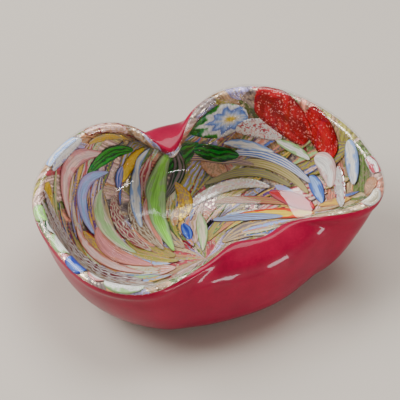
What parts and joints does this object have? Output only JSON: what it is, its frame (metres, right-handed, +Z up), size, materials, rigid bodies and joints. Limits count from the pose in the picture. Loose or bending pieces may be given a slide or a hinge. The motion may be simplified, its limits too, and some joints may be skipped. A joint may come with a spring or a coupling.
{
  "type": "art glass bowl",
  "caption": "Thick pinched two-lobed bowl of red cased glass, with a swirl of multicoloured cane chips under a clear lining.",
  "frame": {"origin": "centre of the bowl's box in plan, on the plane that its ground foot rests on", "axes": "+X along the long axis towards the wider, higher lobe; +Y towards the deep back fold; +Z up"},
  "size_m": [0.1612, 0.1111, 0.0604],
  "materials": {
    "red_glass": "polished, cased, dense red",
    "clear_glass": "polished, clear",
    "silver_foil": "crackled silver leaf",
    "smoke_cane": "opaque cane",
    "rose_cane": "opaque cane",
    "moss_cane": "opaque cane",
    "pink_cane": "opaque cane",
    "blue_cane": "opaque cane",
    "pale_green_cane": "opaque cane",
    "green_cane": "opaque cane",
    "amber_glitter": "amber glass with gold flecks",
    "lace_cane": "white lace lines in smoky glass",
    "striped_cane": "striped blue, purple, white and olive cane",
    "cream_glitter": "cream glass with flecks",
    "red_cane": "opaque cane",
    "silver_flecks": "clear glass full of silver flecks",
    "red_foil": "red glass over foil",
    "copper_glitter": "copper aventurine",
    "white_twist": "white and pink twisted cane",
    "cobalt_cane": "opaque cane",
    "murrine": "green, white and blue chevron murrina"
  },
  "bodies": {
    "root": {"red_casing": "red_glass", "clear_lining": "clear_glass", "silver_leaf": "silver_foil", "smoke_cane_leaves": "smoke_cane", "rose_cane_leaves": "rose_cane", "moss_cane_leaves": "moss_cane", "pink_cane_chips": "pink_cane", "blue_cane_chips": "blue_cane", "pale_green_cane_chips": "pale_green_cane", "green_cane_chips": "green_cane", "amber_glitter_chips": "amber_glitter", "lace_cane_ribbons": "lace_cane", "striped_cane_ribbons": "striped_cane", "cream_glitter_canes": "cream_glitter", "red_cane_ribbons": "red_cane", "silver_fleck_chips": "silver_flecks", "red_foil_patches": "red_foil", "copper_glitter_patches": "copper_glitter", "white_twist_canes": "white_twist", "cobalt_cane_chips": "cobalt_cane", "emerald_murrine_slices": "murrine"}
  },
  "joints": []
}
